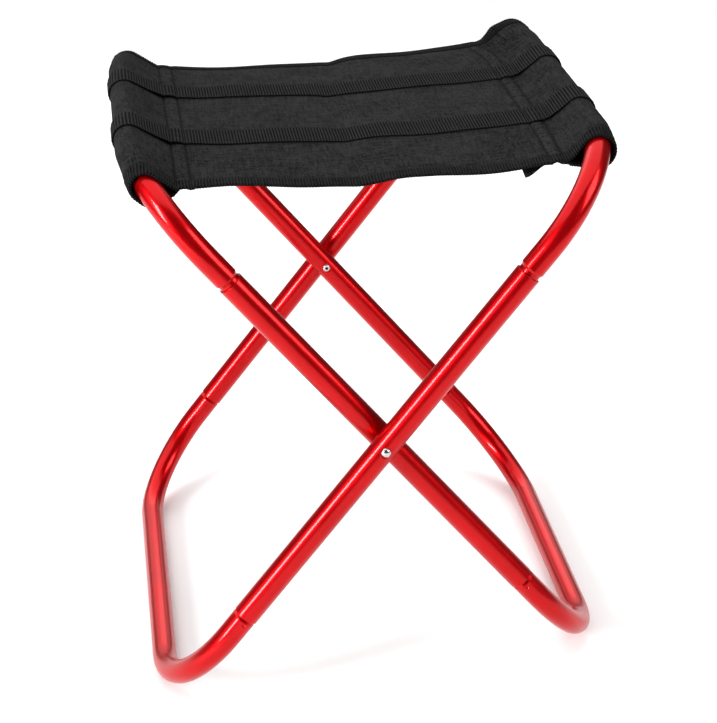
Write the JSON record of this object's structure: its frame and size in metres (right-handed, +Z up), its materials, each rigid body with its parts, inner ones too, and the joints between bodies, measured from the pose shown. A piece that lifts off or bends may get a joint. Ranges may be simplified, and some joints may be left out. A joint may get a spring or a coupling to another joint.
{
  "type": "camp stool",
  "caption": "Small folding camp stool: two crossed tube frames riveted at a pivot, with a fabric sling seat stretched between the top rails.",
  "frame": {"origin": "on the floor under the middle of the seat", "axes": "+Z up, +X across the seat from the inner frame's seat rail to the outer frame's, +Y along the rails to the rear"},
  "size_m": [0.2542, 0.2874, 0.3043],
  "materials": {
    "frame_tube": "glossy red anodised",
    "rivet": "polished",
    "spacer": "matte black",
    "seat_cloth": "coated coarse weave, charcoal black",
    "webbing": "ribbed webbing, charcoal black",
    "binding": "ribbed tape, charcoal black",
    "thread": "dark sewing thread"
  },
  "bodies": {
    "outer_frame": {"outer_side_tube_front": "frame_tube", "outer_side_tube_rear": "frame_tube", "outer_seat_rail": "frame_tube", "outer_foot_rail": "frame_tube", "pivot_rivet_front": "rivet", "pivot_rivet_rear": "rivet", "pivot_spacer_front": "spacer", "pivot_spacer_rear": "spacer", "right_rail_sleeve": "seat_cloth", "seat_panel": "seat_cloth", "webbing_strap_front": "webbing", "webbing_strap_rear": "webbing", "edge_binding_front": "binding", "edge_binding_rear": "binding", "left_seam_stitching": "thread", "right_seam_stitching": "thread"},
    "inner_frame": {"inner_side_tube_front": "frame_tube", "inner_side_tube_rear": "frame_tube", "inner_seat_rail": "frame_tube", "inner_foot_rail": "frame_tube", "left_rail_sleeve": "seat_cloth"}
  },
  "joints": [
    {"name": "fold", "type": "hinge", "parent": "outer_frame", "child": "inner_frame", "pos_m": [0, 0, 0.15064], "axis": [0, 1, 0], "range_deg": [0, 64], "deforming": ["seat_panel", "webbing_strap_front", "webbing_strap_rear", "edge_binding_front", "edge_binding_rear", "left_seam_stitching", "right_seam_stitching"]}
  ]
}
